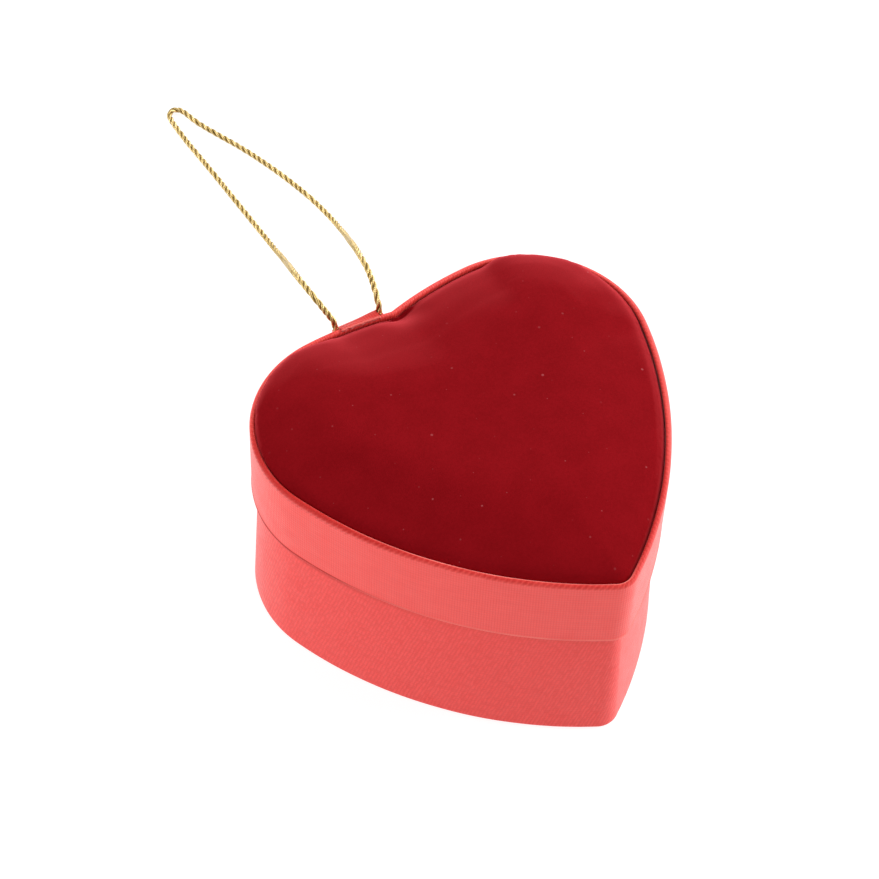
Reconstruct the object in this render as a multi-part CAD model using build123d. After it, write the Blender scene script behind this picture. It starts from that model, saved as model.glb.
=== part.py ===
from build123d import *
import math
import os

# A small heart-shaped gift box of covered card. The lid lifts off, its top is a
# velvet pad sunk inside a ribbon-covered rim, and a cord loop hangs from the
# rim beside the notch. Lengths are in millimetres, +Z is up, the box stands on
# z = 0 and the heart points towards -Y.

# Heart outline of the lid, seen from above
heart_width = 65.0
heart_length = 62.7  # from the lobes' backs to where the sides would meet
lobe_radius = 18.5
side_radius = 68.0  # long arcs from the lobes to the point
top_radius = 60.0  # shallow arcs from the lobes into the notch
notch_drop = 1.5  # notch in front of the lobes' backs
tip_radius = 3.5  # rounded point
least_tip_radius = 0.5  # the same point on the pad's innermost outlines

# Heights
rim_height = 36.8  # table to the top of the lid's rim
lid_height = 13.3  # rim of the lid, top to lower edge
pad_depth = 3.2  # the tray that the pad lies in, below the rim's top
crown_height = 2.9  # crown of the pad above the rim
pad_edge_drop = 0.5  # edge of the pad below the rim's top
crown_run = 12.0  # width over which the pad rises to its crown
crown_steps = 6

# Sheet thicknesses
ribbon_thickness = 0.25
rim_card = 0.4
wall_card = 1.0
floor_card = 1.2
panel_card = 1.2
pad_card = 1.0
velvet_thickness = 0.5
paper_thickness = 0.2

# Fits
lid_clearance = 0.35  # between the lid's rim and the base under it
lid_seat_gap = 0.2  # between the lid's lining and the base's top edge
base_flare = 1.0  # how far the base widens from the lid's edge to the table
base_hem = 6.0  # ribbon turned down inside the base
velvet_turn = 6.0  # velvet turned under the pad's board
lining_margin = 0.3  # lid lining inside the rim
bottom_margin = 0.8  # bottom paper inside the base's edge
cut_through = 1.0  # sloping cuts run this far past the base's ends

# Cord loop, and the overlapped ribbon end that holds its two ends
cord_diameter = 1.0
left_exit_x = -8.9
right_exit_x = -1.7
exit_lift = 0.8  # cord's centre above the rim where it leaves
tail_width = 1.2  # cord pressed flat under the ribbon end
tail_thickness = 0.6
tail_length = 9.0
tab_overhang = 1.0  # ribbon end past the middle of each cord tail

# The loop's route from the left exit to the right one: it arches out behind the
# lid, falls to the table, lies along it and folds back on itself at its far end.
loop_route = [
    (-9.7, 32.5, 39.4),
    (-10.2, 35.5, 40.7),
    (-10.0, 39.3, 40.4),
    (-8.8, 43.5, 38.0),
    (-5.9, 49.4, 31.9),
    (-1.2, 56.8, 22.0),
    (3.1, 64.6, 12.6),
    (6.5, 71.3, 5.6),
    (8.1, 76.2, 2.1),
    (8.8, 80.6, 0.8),
    (9.0, 87.5, 0.6),
    (9.3, 100.0, 0.6),
    (9.3, 107.6, 0.6),
    (9.5, 111.9, 0.6),
    (9.8, 115.6, 0.6),
    (11.2, 116.6, 0.6),
    (12.7, 115.6, 0.6),
    (13.2, 111.7, 0.6),
    (15.0, 106.5, 0.6),
    (17.0, 101.1, 0.6),
    (19.3, 92.3, 0.6),
    (20.6, 84.7, 0.6),
    (20.9, 78.7, 0.8),
    (20.2, 74.6, 2.1),
    (18.4, 69.9, 5.6),
    (14.7, 63.3, 12.6),
    (10.0, 55.7, 22.0),
    (5.0, 48.4, 31.9),
    (1.9, 42.5, 38.0),
    (0.4, 38.4, 40.4),
    (-0.4, 34.7, 40.7),
    (-1.2, 31.7, 39.4),
]

# Places that follow from the sizes above
rim_wall = 2 * ribbon_thickness + rim_card  # the rim with its ribbon inside and out
rim_inner = ribbon_thickness + rim_card
skirt_z = rim_height - lid_height  # lower edge of the lid
panel_top = rim_height - pad_depth
panel_bottom = panel_top - panel_card
lid_lining_bottom = panel_bottom - paper_thickness
base_top = lid_lining_bottom - lid_seat_gap
pad_board_bottom = panel_top + velvet_thickness
pad_board_top = pad_board_bottom + pad_card
base_wall_bottom = paper_thickness + ribbon_thickness
base_wall_top = base_top - ribbon_thickness
base_floor_top = paper_thickness + floor_card
base_hem_bottom = base_top - base_hem
wall_outside = ribbon_thickness
wall_inside = ribbon_thickness + wall_card
tab_proud = tail_thickness + ribbon_thickness
tab_left = left_exit_x - tab_overhang
tab_right = right_exit_x + tab_overhang


def arc_centre(lobe, radius, through):
    """Centre of an arc of this radius that runs on from the lobe circle to a point."""
    reach = radius - lobe_radius
    span = math.dist(lobe, through)
    along = (reach**2 - radius**2 + span**2) / (2 * span)
    across = math.sqrt(reach**2 - along**2)
    ux = (through[0] - lobe[0]) / span
    uy = (through[1] - lobe[1]) / span
    turn = 1 if through[1] > lobe[1] else -1
    x = lobe[0] + along * ux - turn * across * uy
    y = lobe[1] + along * uy + turn * across * ux
    return (x, y)


# The outline's arc centres, measured from the line through the two lobes
lobe = (heart_width / 2 - lobe_radius, 0.0)
side = arc_centre(lobe, side_radius, (0.0, lobe_radius - heart_length))
top = arc_centre(lobe, top_radius, (0.0, lobe_radius - notch_drop))
side_angle = math.atan2(lobe[1] - side[1], lobe[0] - side[0])
top_angle = math.atan2(lobe[1] - top[1], lobe[0] - top[0])
tip_y = side[1] - math.sqrt((side_radius - tip_radius) ** 2 - side[0] ** 2)


def back_y(x, inset):
    """How far back the outline lies behind the lobes' line, between a lobe and the notch."""
    return top[1] + math.sqrt((top_radius - inset) ** 2 - (abs(x) - top[0]) ** 2)


# The origin is under the middle of the box, so the lobes' line lies behind it
tab_back = back_y(tab_left, -tab_proud)
lobe_line_y = -(max(lobe_radius, tab_back) + tip_y - tip_radius) / 2


def on_arc(centre, radius, angle):
    """A point of an arc of the right half, in the part's own frame."""
    x = centre[0] + radius * math.cos(angle)
    y = centre[1] + radius * math.sin(angle) + lobe_line_y
    return (x, y)


def heart(inset, z):
    """The heart's outline drawn in by an inset, as a flat face at height z."""
    tip = max(tip_radius - inset, least_tip_radius)
    tip_centre = side[1] - math.sqrt((side_radius - inset - tip) ** 2 - side[0] ** 2)
    meet = math.atan2(tip_centre - side[1], -side[0])
    notch = (0.0, back_y(0.0, inset) + lobe_line_y)
    notch_angle = math.atan2(notch[1] - lobe_line_y - top[1], -top[0])
    top_arc = (top, top_radius - inset, notch_angle, top_angle)
    lobe_arc = (lobe, lobe_radius - inset, top_angle, side_angle)
    side_arc = (side, side_radius - inset, side_angle, meet)
    right = []
    for centre, radius, start, end in (top_arc, lobe_arc, side_arc):
        middle = (start + end) / 2
        right.append([on_arc(centre, radius, angle) for angle in (start, middle, end)])
    right[0][0] = notch
    left = [[(-x, y) for x, y in reversed(arc)] for arc in reversed(right)]
    point = (0.0, tip_centre - tip + lobe_line_y)
    rounded = [right[2][2], point, left[0][0]]
    edges = [ThreePointArc(*arc) for arc in right + [rounded] + left]
    return Pos(0, 0, z) * make_face(Wire(edges))


def slab(inset, low, high):
    """A straight-sided heart between two heights."""
    return extrude(heart(inset, low), amount=high - low, dir=(0, 0, 1))


def base_inset(z):
    """The base's ribbon face inside the lid's outline, which narrows with height."""
    under_lid = rim_inner + lid_clearance
    return under_lid - base_flare * (1 - z / skirt_z)


def flared(depth, low, high):
    """A heart between two heights that follows the base's sloping side at a depth."""
    bottom = -cut_through
    top_end = base_top + cut_through
    ends = [heart(base_inset(z) + depth, z) for z in (bottom, top_end)]
    band = Pos(0, 0, (low + high) / 2) * Box(2 * heart_width, 2 * heart_length, high - low)
    return loft(ends, ruled=True) & band


def crown(shrink, low):
    """The pad's form: straight sides, then a rounded shoulder up to a flat crown."""
    edge_z = rim_height - pad_edge_drop - shrink / 2
    rise = rim_height + crown_height - shrink - edge_z
    sections = [heart(rim_wall + shrink, low)]
    for step in range(crown_steps + 1):
        angle = math.pi / 2 * step / crown_steps
        inset = rim_wall + shrink + crown_run * (1 - math.cos(angle))
        sections.append(heart(inset, edge_z + rise * math.sin(angle)))
    return loft(sections, ruled=True)


def behind_lid(x_low, x_high, inner, outer, low, high):
    """A piece of the layer behind the left lobe, between two distances off the lid."""
    layer = slab(-outer, low, high) - slab(-inner, low, high)
    middle = ((x_low + x_high) / 2, lobe_line_y + lobe_radius, (low + high) / 2)
    window = Pos(*middle) * Box(x_high - x_low, 2 * lobe_radius, high - low)
    return layer & window


def base_parts():
    """The base: a card floor and wall, a ribbon round them and paper linings."""
    wall = flared(wall_outside, base_wall_bottom, base_wall_top)
    wall -= flared(wall_inside, base_wall_bottom, base_wall_top)
    ribbon = flared(0, paper_thickness, base_top) - wall
    ribbon -= flared(wall_inside, paper_thickness, base_hem_bottom)
    ribbon -= flared(wall_inside + ribbon_thickness, base_hem_bottom, base_top)
    lining = flared(wall_inside, base_floor_top, base_hem_bottom)
    lining_depth = wall_inside + paper_thickness
    lining -= flared(lining_depth, base_floor_top, base_hem_bottom)
    lining_top = base_floor_top + paper_thickness
    return {
        "base_bottom_paper": slab(base_inset(0) + bottom_margin, 0, paper_thickness),
        "base_floor": flared(wall_inside, paper_thickness, base_floor_top),
        "base_wall": wall,
        "base_ribbon": ribbon,
        "base_lining_wall": lining,
        "base_lining_floor": flared(lining_depth, base_floor_top, lining_top),
    }


def lid_parts():
    """The lid: a card tray in a ribbon, and the padded velvet panel glued into it."""
    rim_top = rim_height - ribbon_thickness
    rim = slab(ribbon_thickness, skirt_z, rim_top) - slab(rim_inner, skirt_z, rim_top)
    ribbon = slab(0, skirt_z, rim_height) - rim
    ribbon -= slab(rim_inner, skirt_z, panel_top)
    ribbon -= slab(rim_wall, panel_top, rim_height)
    pad_board = slab(rim_wall + velvet_thickness, pad_board_bottom, pad_board_top)
    wadding = crown(velvet_thickness, pad_board_top)
    velvet = crown(0, panel_top) - wadding - pad_board
    velvet -= slab(rim_wall + velvet_thickness + velvet_turn, panel_top, pad_board_bottom)
    return {
        "lid_rim": rim,
        "lid_ribbon": ribbon,
        "lid_panel": slab(rim_inner, panel_bottom, panel_top),
        "lid_lining": slab(rim_inner + lining_margin, lid_lining_bottom, panel_bottom),
        "pad_board": pad_board,
        "pad_wadding": wadding,
        "velvet_cover": velvet,
    }


def tab_parts():
    """The overlapped end of the lid's ribbon, and the cord's two ends under it."""
    tab = behind_lid(tab_left, tab_right, 0, tab_proud, skirt_z, rim_height)
    fold = ribbon_thickness
    tab -= behind_lid(
        tab_left + fold, tab_right - fold, 0, tail_thickness, skirt_z, rim_height
    )
    tails = []
    for x in (left_exit_x, right_exit_x):
        low = rim_height - tail_length
        half = tail_width / 2
        tails += behind_lid(x - half, x + half, 0, tail_thickness, low, rim_height).solids()
    return {"ribbon_tab": tab, "cord_tails": Compound(children=tails)}


def cord_exit(x):
    """Where the cord's middle leaves the ribbon end, just above the rim."""
    y = back_y(x, -tail_thickness / 2) + lobe_line_y
    return (x, y, rim_height + exit_lift)


def bend_radii(points):
    """The largest arc that each corner's two runs leave room for."""
    share = 0.45
    radii = []
    for before, corner, after in zip(points, points[1:], points[2:]):
        arriving = Vector(*corner) - Vector(*before)
        leaving = Vector(*after) - Vector(*corner)
        turn = math.radians(arriving.get_angle(leaving))
        shorter = min(arriving.length, leaving.length)
        radii.append(share * shorter / math.tan(turn / 2))
    return radii


def hanging_loop():
    """The cord loop, as a plain round tube along its route."""
    points = [cord_exit(left_exit_x)] + loop_route + [cord_exit(right_exit_x)]
    radii = bend_radii(points)
    path = FilletPolyline(*points, radius=radii)
    section = Plane(origin=path @ 0, z_dir=path % 0) * Circle(cord_diameter / 2)
    tube = sweep(section, path=path)
    expected = math.pi * cord_diameter**2 / 4 * path.length
    print("cord radii", [round(radius, 1) for radius in radii])
    print("cord length", round(path.length, 1), "volume share", round(tube.volume / expected, 4))
    return tube


parts = base_parts() | lid_parts() | tab_parts() | {"hanging_loop": hanging_loop()}

os.makedirs("parts", exist_ok=True)
for name, solid in parts.items():
    export_step(solid, f"parts/{name}.step")
print("lobe line", round(lobe_line_y, 3), "exits", cord_exit(left_exit_x), cord_exit(right_exit_x))
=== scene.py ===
import math

import bmesh
import bpy
import numpy as np
from mathutils import Matrix, Vector, noise


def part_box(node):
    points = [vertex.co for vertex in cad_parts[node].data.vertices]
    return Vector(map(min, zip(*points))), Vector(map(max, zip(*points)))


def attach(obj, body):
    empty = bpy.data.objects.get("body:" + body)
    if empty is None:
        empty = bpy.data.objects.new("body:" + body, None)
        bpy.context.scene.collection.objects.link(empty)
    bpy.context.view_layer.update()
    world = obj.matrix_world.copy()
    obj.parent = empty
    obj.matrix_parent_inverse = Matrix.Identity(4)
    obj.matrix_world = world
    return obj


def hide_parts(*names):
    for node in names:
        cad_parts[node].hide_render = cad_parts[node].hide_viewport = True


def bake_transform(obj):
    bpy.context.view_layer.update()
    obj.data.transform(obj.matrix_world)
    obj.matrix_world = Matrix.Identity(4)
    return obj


# A small heart-shaped gift box of covered card: a velvet pad sunk in the lid's
# ribbon-covered rim, a ribbon-covered base, and a gold cord loop. Shapes are
# worked out in millimetres in the part's own frame, and become metres as their
# meshes are made.

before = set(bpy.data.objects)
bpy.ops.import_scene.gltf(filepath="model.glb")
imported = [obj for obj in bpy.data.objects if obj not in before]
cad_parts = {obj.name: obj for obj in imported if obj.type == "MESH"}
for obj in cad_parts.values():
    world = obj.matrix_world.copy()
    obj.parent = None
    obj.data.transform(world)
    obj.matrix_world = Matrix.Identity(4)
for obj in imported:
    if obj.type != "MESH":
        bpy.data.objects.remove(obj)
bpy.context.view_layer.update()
MM = 0.001

# Heart outline of the lid, as the solids have it
LOBE_RADIUS = 18.5
SIDE_RADIUS = 68.0
TOP_RADIUS = 60.0
HEART_LENGTH = 62.7
NOTCH_DROP = 1.5
TIP_RADIUS = 3.5
LEAST_TIP_RADIUS = 0.5

# Columns of a ring round the heart, on the arcs of one half
TOP_COLUMNS = 40
LOBE_COLUMNS = 64
SIDE_COLUMNS = 100
TIP_COLUMNS = 10

# Sheet thicknesses and fits, as the solids have them
RIBBON = 0.25
RIM_CARD = 0.4
WALL_CARD = 1.0
LID_CLEARANCE = 0.35
BASE_FLARE = 1.0
BASE_HEM = 6.0

# Ribbon edges
SELVEDGE_RADIUS = 0.2
SELVEDGE_PROUD = 0.07
BASE_TOP_ROUND = 0.35
BASE_FOLD = 0.35
RIPPLE = 0.07
RIPPLE_LENGTH = 9.0
FACE_ROWS = 20
ARC_STEP = 18

# The overlapped ribbon end, and the cord's ends under it
LEFT_EXIT_X = -8.9
RIGHT_EXIT_X = -1.7
EXIT_LIFT = 0.8
TAIL_THICKNESS = 0.6
TAIL_LENGTH = 9.0
TAB_OVERHANG = 0.7
TAB_EASE = 0.7
TAB_LEFT_LIFT = -0.7
TAB_RIGHT_LIFT = 0.35
TAB_END_FALL = 1.0
TAB_HUG = 0.6
TAB_SLACK = 0.25
TAB_LOW_GAP = 0.12
TAB_COLUMNS = 48
FOLD_CLEAR = 0.4
FOLD_REACH = 0.8
FOLD_RAGGED = 0.1
FOLD_RAGGED_LENGTH = 0.6
FOLD_BULGE = 0.12
FOLD_STEPS = 14

# The cord: three gold strands laid round each other
CORD_DIAMETER = 1.0
STRANDS = 3
STRAND_RADIUS = 0.235
LAY_RADIUS = 0.265
LAY_PITCH = 4.0
LAY_WANDER = 1.1
LAY_WANDER_LENGTH = 3.0
STRAND_SIDES = 10
STRAND_STEP = 0.18
ROUTE_STEPS = 44
POCKET_DEPTH = 1.6
FIRST_SIDE = (1.0, 0.3, 0.2)

# The loop's route from the left exit to the right one, as the solids have it
LOOP_ROUTE = [
    (-9.7, 32.5, 39.4),
    (-10.2, 35.5, 40.7),
    (-10.0, 39.3, 40.4),
    (-8.8, 43.5, 38.0),
    (-5.9, 49.4, 31.9),
    (-1.2, 56.8, 22.0),
    (3.1, 64.6, 12.6),
    (6.5, 71.3, 5.6),
    (8.1, 76.2, 2.1),
    (8.8, 80.6, 0.8),
    (9.0, 87.5, 0.6),
    (9.3, 100.0, 0.6),
    (9.3, 107.6, 0.6),
    (9.5, 111.9, 0.6),
    (9.8, 115.6, 0.6),
    (11.2, 116.6, 0.6),
    (12.7, 115.6, 0.6),
    (13.2, 111.7, 0.6),
    (15.0, 106.5, 0.6),
    (17.0, 101.1, 0.6),
    (19.3, 92.3, 0.6),
    (20.6, 84.7, 0.6),
    (20.9, 78.7, 0.8),
    (20.2, 74.6, 2.1),
    (18.4, 69.9, 5.6),
    (14.7, 63.3, 12.6),
    (10.0, 55.7, 22.0),
    (5.0, 48.4, 31.9),
    (1.9, 42.5, 38.0),
    (0.4, 38.4, 40.4),
    (-0.4, 34.7, 40.7),
    (-1.2, 31.7, 39.4),
]

# Velvet pad: it spills over the rim behind each lobe, by its fullness at angles round the lobe
FULL_RIGHT = [(-25, 0.0), (-5, 0.12), (10, 0.3), (22, 0.65), (30, 1.0), (71, 1.0), (80, 0.0)]
FULL_LEFT = [(-106, 0.0), (-98, 0.2), (-25, 0.2), (5, 0.35), (28, 0.6), (43, 1.0), (80, 1.0), (104, 0.0)]
FULL_NECK = 0.3
FULL_RUN = 11.0
SPILL = 0.9
SPILL_CLEAR = 0.2
SPILL_FADE = 4.0
PAD_GAP = 0.4
PAD_GROOVE = 0.45
PAD_EDGE_DROP = 0.4
PAD_RUN = 13.0
PAD_INNER = 13.0
PAD_CROWN_DROP = 0.3
PAD_CENTRE = (0.0, 5.0)
PAD_SIDE_ROWS = 5
PAD_TOP_ROWS = 18
PAD_MIDDLE_ROWS = (0.75, 0.5, 0.25, 0.1)
PAD_VOXEL = 0.56
PAD_CAP = 1.2
PAD_FRAMES = 20
PAD_PRESSURE = 2.0
PAD_BENDING = 2.0
PAD_SMOOTHING = 40
PAD_EVENING = 8
SIM_SCALE = 10.0
CREASE_PLACE = (1.2, 28.2)
CREASE_DEPTH = 1.1
CREASE_WIDTH = 2.6


def node_box(name):
    """The lowest and highest corner of a solid, in millimetres."""
    low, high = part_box(name)
    return low / MM, high / MM


lid_low, lid_high = node_box("lid_ribbon")
base_low, base_high = node_box("base_ribbon")
tray_z = node_box("lid_panel")[1].z
crown_z = node_box("velvet_cover")[1].z
RIM_INSIDE = RIBBON + RIM_CARD
RIM_WALL = RIM_INSIDE + RIBBON
WALL_INSIDE = RIBBON + WALL_CARD
lobe_line_y = lid_high.y - LOBE_RADIUS


# Heart outline


def arc_centre(lobe, radius, through):
    """Centre of an arc of this radius that runs on from the lobe circle to a point."""
    reach = radius - LOBE_RADIUS
    span = math.dist(lobe, through)
    along = (reach**2 - radius**2 + span**2) / (2 * span)
    across = math.sqrt(reach**2 - along**2)
    ux = (through[0] - lobe[0]) / span
    uy = (through[1] - lobe[1]) / span
    turn = 1 if through[1] > lobe[1] else -1
    return (lobe[0] + along * ux - turn * across * uy, lobe[1] + along * uy + turn * across * ux)


lobe = ((lid_high.x - lid_low.x) / 2 - LOBE_RADIUS, 0.0)
side = arc_centre(lobe, SIDE_RADIUS, (0.0, LOBE_RADIUS - HEART_LENGTH))
top = arc_centre(lobe, TOP_RADIUS, (0.0, LOBE_RADIUS - NOTCH_DROP))
side_angle = math.atan2(lobe[1] - side[1], lobe[0] - side[0])
top_angle = math.atan2(lobe[1] - top[1], lobe[0] - top[0])


def back_y(x, inset):
    """Y of the outline between a lobe and the notch."""
    return lobe_line_y + top[1] + math.sqrt((TOP_RADIUS - inset) ** 2 - (abs(x) - top[0]) ** 2)


def arc_points(centre, radius, start, end, count):
    """Points of an arc from its start up to, and without, its end."""
    angles = np.linspace(start, end, count, endpoint=False)
    x = centre[0] + radius * np.cos(angles)
    y = centre[1] + radius * np.sin(angles)
    return np.stack([x, y], axis=1)


def heart_ring(inset):
    """The outline drawn in by an inset: from the notch round the right lobe to the point and back."""
    tip = max(TIP_RADIUS - inset, LEAST_TIP_RADIUS)
    tip_y = side[1] - math.sqrt((SIDE_RADIUS - inset - tip) ** 2 - side[0] ** 2)
    meet = math.atan2(tip_y - side[1], -side[0])
    notch_angle = math.atan2(back_y(0, inset) - lobe_line_y - top[1], -top[0])
    half = np.concatenate([
        arc_points(top, TOP_RADIUS - inset, notch_angle, top_angle, TOP_COLUMNS),
        arc_points(lobe, LOBE_RADIUS - inset, top_angle, side_angle, LOBE_COLUMNS),
        arc_points(side, SIDE_RADIUS - inset, side_angle, meet, SIDE_COLUMNS),
        arc_points((0.0, tip_y), tip, meet, -math.pi / 2, TIP_COLUMNS),
        [[0.0, tip_y - tip]],
    ])
    left = half[-2:0:-1] * (-1, 1)
    return np.concatenate([half, left]) + (0.0, lobe_line_y)


def lengths(points, closed=True):
    """Distance of each point along a line, with the closing step last if it is closed."""
    around = np.vstack([points, points[:1]]) if closed else np.asarray(points)
    steps = np.linalg.norm(np.diff(around, axis=0), axis=1)
    return np.concatenate([[0.0], np.cumsum(steps)])


RING = heart_ring(0.0)
RING_LENGTHS = lengths(RING)


def base_inset(z):
    """The base's ribbon face inside the lid's outline, which narrows with height."""
    return RIM_INSIDE + LID_CLEARANCE - BASE_FLARE * (1 - z / lid_low.z)


# Meshes


def grid_mesh(name, points, across, along, wrap_rows=False, wrap_columns=False):
    """A mesh of quads over rows and columns of points in millimetres, with lengths as its cloth map."""
    rows, columns = points.shape[:2]
    index = np.arange(rows * columns).reshape(rows, columns)
    if wrap_rows:
        index = np.vstack([index, index[:1]])
    if wrap_columns:
        index = np.hstack([index, index[:, :1]])
    corners = [(0, 0), (0, 1), (1, 1), (1, 0)]
    high, wide = index.shape
    quads = [index[i:high - 1 + i, j:wide - 1 + j] for i, j in corners]
    u, v = np.meshgrid(across[:wide], along[:high])
    maps = [np.stack([u, v], axis=-1)[i:high - 1 + i, j:wide - 1 + j] for i, j in corners]
    mesh = bpy.data.meshes.new(name)
    faces = np.stack(quads, axis=-1).reshape(-1, 4)
    mesh.from_pydata((points.reshape(-1, 3) * MM).tolist(), [], faces.tolist())
    layer = mesh.uv_layers.new(name="cloth")
    layer.data.foreach_set("uv", np.stack(maps, axis=2).astype(np.float32).ravel())
    return close_mesh(mesh)


def close_mesh(mesh):
    """Fills the open ends of a mesh, turns its faces outwards and shades it smooth."""
    shape = bmesh.new()
    shape.from_mesh(mesh)
    open_edges = [edge for edge in shape.edges if edge.is_boundary]
    if open_edges:
        bmesh.ops.holes_fill(shape, edges=open_edges)
    bmesh.ops.recalc_face_normals(shape, faces=shape.faces)
    for face in shape.faces:
        face.smooth = True
    shape.to_mesh(mesh)
    shape.free()
    return mesh


def joined_mesh(name, meshes):
    """Several meshes as one."""
    joined = bmesh.new()
    for mesh in meshes:
        joined.from_mesh(mesh)
        bpy.data.meshes.remove(mesh)
    whole = bpy.data.meshes.new(name)
    joined.to_mesh(whole)
    joined.free()
    return whole


def add_piece(name, mesh, material):
    """A new object of the scene, with its material."""
    piece = bpy.data.objects.new(name, mesh)
    bpy.context.scene.collection.objects.link(piece)
    mesh.materials.clear()
    mesh.materials.append(material)
    return piece


def arc_profile(centre, radius, start, end):
    """Points of a rounded edge in a profile, whose angles are in degrees."""
    angles = np.radians(np.linspace(start, end, round(abs(end - start) / ARC_STEP) + 1))
    return [(centre[0] + radius * math.cos(a), centre[1] + radius * math.sin(a)) for a in angles]


def outward(ring):
    """Unit directions that point out of a ring."""
    along = np.roll(ring, -1, axis=0) - np.roll(ring, 1, axis=0)
    along /= np.linalg.norm(along, axis=1)[:, None]
    return np.stack([-along[:, 1], along[:, 0]], axis=1)


def ripple(x, y, z):
    """Cloth glued over card stands off it by a little, unevenly."""
    place = Vector((x, y, z)) / RIPPLE_LENGTH
    return RIPPLE * (0.5 + 0.5 * noise.noise(place))


def ribbon_rows(profile, rippled):
    """Rows of points where a profile of insets and heights goes round the heart."""
    rows = []
    for (inset, z), loose in zip(profile, rippled):
        ring = heart_ring(inset)
        if loose:
            lift = np.array([ripple(x, y, z) for x, y in ring])
            ring = ring + outward(ring) * lift[:, None]
        rows.append(np.column_stack([ring, np.full(len(ring), z)]))
    return np.array(rows)


def ribbon_piece(name, outer, inner, material):
    """A ribbon round the heart, from its outer profile and back along the card that it covers."""
    profile = outer + inner
    rippled = [True] * len(outer) + [False] * len(inner)
    points = ribbon_rows(profile, rippled)
    along = lengths(np.array(profile))
    mesh = grid_mesh(name, points, RING_LENGTHS, along, wrap_rows=True, wrap_columns=True)
    return add_piece(name, mesh, material)


# Materials


class Shader:
    """A material's nodes, with short calls that add a node and join it to others."""

    def __init__(self, name, **values):
        self.material = bpy.data.materials.new(name)
        self.material.use_nodes = True
        self.tree = self.material.node_tree
        self.surface = self.tree.nodes["Principled BSDF"]
        for socket, value in values.items():
            self.surface.inputs[socket.replace("_", " ")].default_value = value

    def node(self, kind, inputs=None, **settings):
        """A new node, with its settings and what goes into it."""
        made = self.tree.nodes.new(kind)
        for key, value in settings.items():
            setattr(made, key, value)
        for key, value in (inputs or {}).items():
            self.put(made.inputs[key], value)
        return made

    def put(self, socket, value):
        """Joins a node's output to a socket, or sets a constant on it."""
        if isinstance(value, bpy.types.NodeSocket):
            self.tree.links.new(value, socket)
        else:
            socket.default_value = value

    def math(self, operation, first, second=0.0):
        made = self.node("ShaderNodeMath", {0: first, 1: second}, operation=operation)
        return made.outputs[0]

    def weighted(self, first, first_weight, second, second_weight):
        """Two values added, each times its weight."""
        one = self.math("MULTIPLY", first, first_weight)
        other = self.math("MULTIPLY", second, second_weight)
        return self.math("ADD", one, other)

    def ramp(self, value, low, high, to_low=0.0, to_high=1.0):
        """A value carried from one range to another, held at its ends."""
        inputs = {"Value": value, "From Min": low, "From Max": high, "To Min": to_low, "To Max": to_high}
        return self.node("ShaderNodeMapRange", inputs).outputs["Result"]

    def mix(self, share, first, second):
        """Two colours mixed."""
        made = self.node("ShaderNodeMix", {0: share, 6: first, 7: second}, data_type="RGBA")
        return made.outputs[2]

    def noise(self, scale, detail=3.0, vector=None):
        """A soft noise over the piece, with so many features a millimetre."""
        place = vector or self.place()
        inputs = {"Vector": place, "Scale": scale, "Detail": detail}
        return self.node("ShaderNodeTexNoise", inputs).outputs["Fac"]

    def place(self):
        """Where a point is on the piece, in millimetres."""
        where = self.node("ShaderNodeTexCoord").outputs["Object"]
        grown = self.node("ShaderNodeVectorMath", {0: where, 3: 1 / MM}, operation="SCALE")
        return grown.outputs["Vector"]

    def along_axis(self, axis):
        """How far along an axis a point is on the piece, in millimetres."""
        return self.node("ShaderNodeSeparateXYZ", {"Vector": self.place()}).outputs[axis]

    def cloth(self):
        """Lengths along and across the cloth, in millimetres."""
        where = self.node("ShaderNodeUVMap", uv_map="cloth").outputs["UV"]
        split = self.node("ShaderNodeSeparateXYZ", {"Vector": where})
        return split.outputs["X"], split.outputs["Y"]

    def streaks(self, first, second, first_scale, second_scale):
        """A noise drawn out along the cloth, with so many features a millimetre each way."""
        x = self.math("MULTIPLY", first, first_scale)
        y = self.math("MULTIPLY", second, second_scale)
        place = self.node("ShaderNodeCombineXYZ", {"X": x, "Y": y}).outputs["Vector"]
        return self.noise(1.0, 2.0, place)

    def ribs(self, length, pitch):
        """Rounded ribs of a pitch, from 0 between them to 1 along their tops."""
        turned = self.math("MULTIPLY", length, math.pi / pitch)
        return self.math("ABSOLUTE", self.math("SINE", turned))

    def relief(self, height, depth, strength=1.0):
        """Bumps of a depth in millimetres."""
        inputs = {"Height": height, "Distance": depth * MM, "Strength": strength}
        bump = self.node("ShaderNodeBump", inputs)
        self.tree.links.new(bump.outputs["Normal"], self.surface.inputs["Normal"])

    def colour(self, value):
        self.put(self.surface.inputs["Base Color"], value)

    def roughness(self, value):
        self.put(self.surface.inputs["Roughness"], value)


# Pitches of the ribbons' threads and of the foil round a strand, in millimetres
WARP = 0.40
WEFT = 0.55
TWILL = 0.54
TWILL_WANDER = 0.5
TWILL_SLANT = math.radians(-17)
FOIL = 0.22
FOIL_LEAN = 0.9

# Uneven places along and across a ribbon, as features a millimetre each way
LID_SLUB = (0.2, 1.4)
TICKS_UNEVEN = (1.2, 0.5)
EDGE_PATCHES = (0.12, 0.3)
TWILL_WAVER = (1.1, 0.5)
TWILL_BREAKS = (1.9, 1.1)

# Uneven places in the other surfaces, as features a millimetre
RIBBON_CLOUDS = 0.4
BASE_SLUB = 0.5
BRUSHED = 0.25
GRAIN = 2.4
PILE = 7.0
GLINTS = 0.8
PAPER_CLOUDS = 0.35
FIBRES = 4.0

# Depths of the bumps in millimetres, and how strongly they show
THREAD_RELIEF = (0.05, 0.7)
PILE_RELIEF = (0.06, 0.5)
FOIL_RELIEF = (0.03, 0.6)
FIBRE_RELIEF = (0.03, 0.5)

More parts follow.
